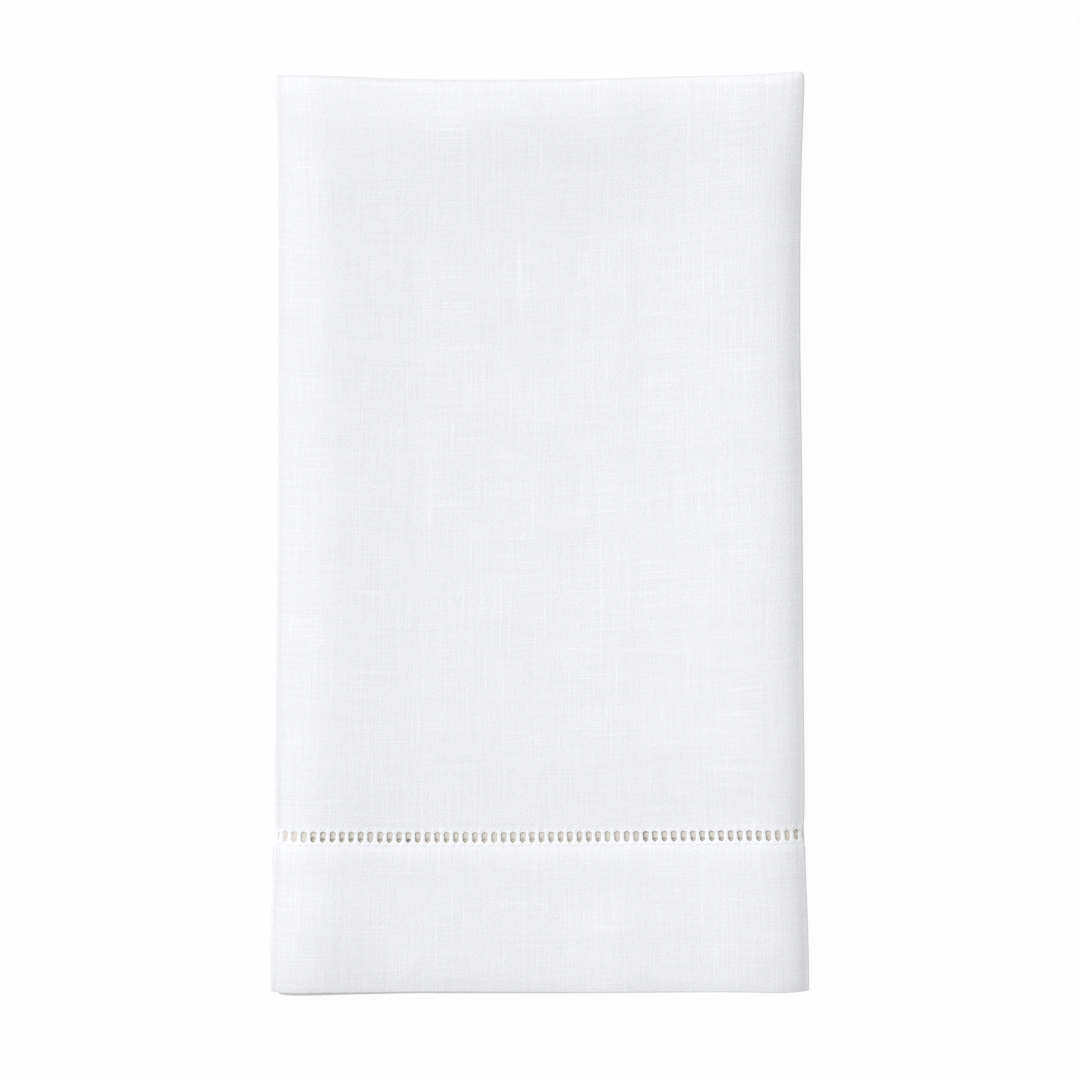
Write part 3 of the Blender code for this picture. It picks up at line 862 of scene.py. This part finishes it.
def linen_patterns(nodes, u, v):
    """The linen's patterns by name, which its heights and shades are mixed from."""
    warp_place = nodes.total([(nodes.pattern(u, v, **WAVER_CELLS["warp"]), WAVER)], u)
    weft_place = nodes.total([(nodes.pattern(u, v, **WAVER_CELLS["weft"]), WAVER)], bowed_weft(nodes, u, v))
    rising, falling = nodes.math("ADD", u, v), nodes.math("SUBTRACT", u, v)
    slubs = []
    for name, place in (("warp_slubs", v), ("weft_slubs", weft_place)):
        slub = nodes.pattern(u, place, **CELLS[name])
        slubs.append(nodes.math("SUBTRACT", slub, SLUB_START, clamp=True))
    return {
        "weave": plain_weave(nodes, warp_place, weft_place),
        "warp": nodes.pattern(u, v, **CELLS["warp"]),
        "weft": nodes.pattern(u, weft_place, **CELLS["weft"]),
        "grain": nodes.pattern(u, v, **CELLS["grain"]),
        "strokes": nodes.pattern(rising, falling, **CELLS["strokes"]),
        "clouds": nodes.pattern(u, v, **CELLS["clouds"]),
        "slubs": nodes.total([(slubs[1], WEFT_SLUBS)], slubs[0]),
    }


def linen_height(nodes, u, patterns):
    """Near the left fold the weft stands out more and the strokes less."""
    away = nodes.math("DIVIDE", nodes.math("SUBTRACT", u, LEFT_FOLD), NEAR_LEFT_REACH)
    near_left = nodes.math("SUBTRACT", 1.0, away, clamp=True)
    weights = dict(HEIGHTS)
    for name, more in HEIGHTS_NEAR_LEFT.items():
        weights[name] = nodes.total([(near_left, more)], weights[name])
    return nodes.total([(patterns[name], weight) for name, weight in weights.items()])


def flap_painted_shade(nodes, u, v):
    """White, apart from painted shade, warm and dark, on the flaps next to the rows of holes."""
    off_middle = nodes.math("ABSOLUTE", nodes.math("SUBTRACT", u, PANEL_MIDDLE))
    in_flap = nodes.math("SUBTRACT", off_middle, PANEL_WIDTH / 2 + FLAP_PAINTED_SHADE_START, clamp=True)
    off_top = nodes.math("ABSOLUTE", nodes.math("SUBTRACT", v, SHEET_LENGTH / 2))
    off_row = nodes.math("ABSOLUTE", nodes.math("SUBTRACT", off_top, SHEET_LENGTH / 2 - ROW_MIDDLE))
    fade = nodes.math("MULTIPLY", off_row, FLAP_PAINTED_SHADE_FADE[1])
    near_row = nodes.math("SUBTRACT", FLAP_PAINTED_SHADE_FADE[0], fade, clamp=True)
    # painted shade: darker still on the covered right flap and on the back's flaps
    front = nodes.mixed(nodes.math("GREATER_THAN", u, LEFT_FLAP_END), FLAP_PAINTED_SHADE, COVERED_PAINTED_SHADE)
    back = nodes.mixed(nodes.math("GREATER_THAN", u, PANEL_MIDDLE), BACK_LEFT_PAINTED_SHADE, BACK_RIGHT_PAINTED_SHADE)
    flaps = nodes.mixed(nodes.math("GREATER_THAN", v, SHEET_LENGTH / 2), front, back)
    return nodes.mixed(nodes.math("MULTIPLY", in_flap, near_row), WHITE, flaps)


def painted_slit_shade_mask(nodes, u, v):
    """1 in the middle of the pressed holes next to the folds, where their shade is painted, and 0 round
    them.
    """
    places = (LEFT_FOLD + FOLD_HOLES["left"][0], RIGHT_FOLD - FOLD_HOLES["right"][0])
    off_places = [nodes.math("ABSOLUTE", nodes.math("SUBTRACT", u, place)) for place in places]
    across = nodes.math("DIVIDE", nodes.math("MINIMUM", *off_places), SLIT_HALF_WIDTH)
    off_row = nodes.math("ABSOLUTE", nodes.math("SUBTRACT", v, ROW_MIDDLE))
    along = nodes.math("DIVIDE", off_row, HOLE_HEIGHT / 2)
    across, along = (nodes.math("POWER", *pair) for pair in zip((across, along), SLIT_POWERS))
    outside = nodes.math("ADD", across, along)
    return nodes.math("SUBTRACT", 1.0, outside, clamp=True)


# painted shade along the rounded fold at the left: darkest at the fold, gone this reach away from it
def painted_fold_shade(nodes, u):
    away = nodes.math("DIVIDE", nodes.math("SUBTRACT", u, LEFT_FOLD), FOLD_PAINTED_SHADE_REACH)
    near = nodes.math("SUBTRACT", 1.0, nodes.math("MULTIPLY", away, away), clamp=True)
    return nodes.math("SUBTRACT", 1.0, nodes.math("MULTIPLY", near, FOLD_PAINTED_SHADE))


def linen_material():
    nodes = Nodes("linen_cloth")
    u, v = nodes.flat_place()
    patterns = linen_patterns(nodes, u, v)
    height = linen_height(nodes, u, patterns)
    bump = nodes.add("ShaderNodeBump", Strength=RELIEF_STRENGTH, Distance=RELIEF, Height=height)
    shade = nodes.total([(patterns[name], weight) for name, weight in SHADES.items()], DARKEST_SHADE)
    greys = nodes.scaled(nodes.noise(u, v, **CELLS["greys"]).outputs["Color"], GREY_SPREAD)
    greys = nodes.vector("ADD", greys, (1.0 - GREY_SPREAD / 2,) * 3)
    # painted shade in the flaps by the rows, in the pressed slits and along the left fold, multiplied into
    # the linen's colour
    painted_shade = nodes.mixed(painted_slit_shade_mask(nodes, u, v), flap_painted_shade(nodes, u, v), SLIT_PAINTED_SHADE)
    painted_shade = nodes.scaled(painted_shade, painted_fold_shade(nodes, u))
    colour = nodes.vector("MULTIPLY", nodes.scaled(greys, shade), LINEN_COLOUR)
    colour = nodes.vector("MULTIPLY", colour, painted_shade)
    return nodes.finish(Base_Color=colour, Normal=bump.outputs[0], Roughness=0.9, Specular_IOR_Level=0.2)


def thread_material():
    nodes = Nodes("linen_thread")
    u, v = nodes.flat_place()
    slant = nodes.total([(u, TURN_SLANT)], v)
    turns = nodes.math("SINE", nodes.math("MULTIPLY", slant, 2 * np.pi / TURN_PITCH))
    fibres = nodes.pattern(u, v, **FIBRE_CELLS)
    height = nodes.total([(turns, TURN_HEIGHT)], fibres)
    bump = nodes.add(
        "ShaderNodeBump", Strength=THREAD_RELIEF_STRENGTH, Distance=THREAD_RELIEF, Height=height
    )
    shade = nodes.total([(fibres, FIBRE_SHADE)], 1.0 - FIBRE_SHADE / 2)
    colour = nodes.scaled(THREAD_COLOUR, shade)
    return nodes.finish(Base_Color=colour, Normal=bump.outputs[0], Roughness=0.7)


# ---------------------------------------------------------------- the dressed towel
def make_towel():
    cloth = cloth_mesh()
    low, high = cloth[0].min(axis=0), cloth[0].max(axis=0)
    centre = np.array(((low[0] + high[0]) / 2, (low[1] + high[1]) / 2, 0.0))
    linen, thread = linen_material(), thread_material()
    bars = bar_middles()
    bars = bars[off_fold(bars) > FOLD_BAR_MARGIN]
    in_front = (bars > LEFT_FOLD) & (bars < RIGHT_FOLD)
    parts = [
        bars_mesh(bars[in_front], False, FRONT_BAR_SIDES),
        bars_mesh(bars[~in_front], False, HIDDEN_BAR_SIDES),
        bars_mesh(bars, True, HIDDEN_BAR_SIDES),
    ]
    sheet = make_piece("towel_cloth", *cloth, linen, centre)
    bars_piece = make_piece("hemstitch_bars", *joined(parts), thread, centre)
    stitches = make_piece("hemstitch_stitches", *stitches_mesh(bars[in_front]), thread, centre)
    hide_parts("towel")


# ---------------------------------------------------------------- the room
PIXELS = 1080
MM_PER_PIXEL = 0.275  # on the front panel
VIEW_MIDDLE = (0.04, -1.65)
CAMERA_HEIGHT = 1500.0  # above the front panel
FRONT_PANEL_HEIGHT = 8.0
SENSOR = 36.0
AMBIENT = 0.614
KEY_STRENGTH = 1.885
KEY_ELEVATION = 40.0
KEY_HEADING = 148.0  # from +X, anticlockwise: from the upper left
KEY_SOFTNESS = 50.0
FLOOR_SIZE = 3.0  # in metres
FLOOR_REFLECTION = 0.025
FLOOR_GLOW = 0.955


def make_camera():
    data = bpy.data.cameras.new("camera")
    data.sensor_width = SENSOR
    data.lens = SENSOR * CAMERA_HEIGHT / (PIXELS * MM_PER_PIXEL)
    camera = bpy.data.objects.new("camera", data)
    height = CAMERA_HEIGHT + FRONT_PANEL_HEIGHT
    camera.location = (VIEW_MIDDLE[0] * MM, VIEW_MIDDLE[1] * MM, height * MM)
    bpy.context.scene.collection.objects.link(camera)
    bpy.context.scene.camera = camera


def make_light():
    data = bpy.data.lights.new("window", "SUN")
    data.energy = KEY_STRENGTH
    data.angle = np.radians(KEY_SOFTNESS)
    light = bpy.data.objects.new("window", data)
    light.rotation_euler = (0.0, np.radians(90.0 - KEY_ELEVATION), np.radians(KEY_HEADING))
    bpy.context.scene.collection.objects.link(light)
    world = bpy.data.worlds.new("studio")
    world.use_nodes = True
    background = world.node_tree.nodes["Background"]
    background.inputs["Color"].default_value = (*WHITE, 1.0)
    background.inputs["Strength"].default_value = AMBIENT
    bpy.context.scene.world = world


def make_floor():
    """A pale floor that glows evenly, casts no shadow and adds no light to the cloth."""
    half = FLOOR_SIZE / 2
    mesh = bpy.data.meshes.new("floor")
    corners = [(-half, -half, 0.0), (half, -half, 0.0), (half, half, 0.0), (-half, half, 0.0)]
    mesh.from_pydata(corners, [], [(0, 1, 2, 3)])
    material = Nodes("white_floor").finish(
        Base_Color=(FLOOR_REFLECTION, FLOOR_REFLECTION, FLOOR_REFLECTION, 1.0),
        Roughness=1.0,
        Emission_Color=(*WHITE, 1.0),
        Emission_Strength=FLOOR_GLOW,
    )
    mesh.materials.append(material)
    floor = bpy.data.objects.new("floor", mesh)
    bpy.context.scene.collection.objects.link(floor)
    floor.visible_diffuse = False
    floor.visible_shadow = False


bpy.context.scene.view_settings.view_transform = "Standard"
make_camera()
make_floor()
make_light()
make_towel()
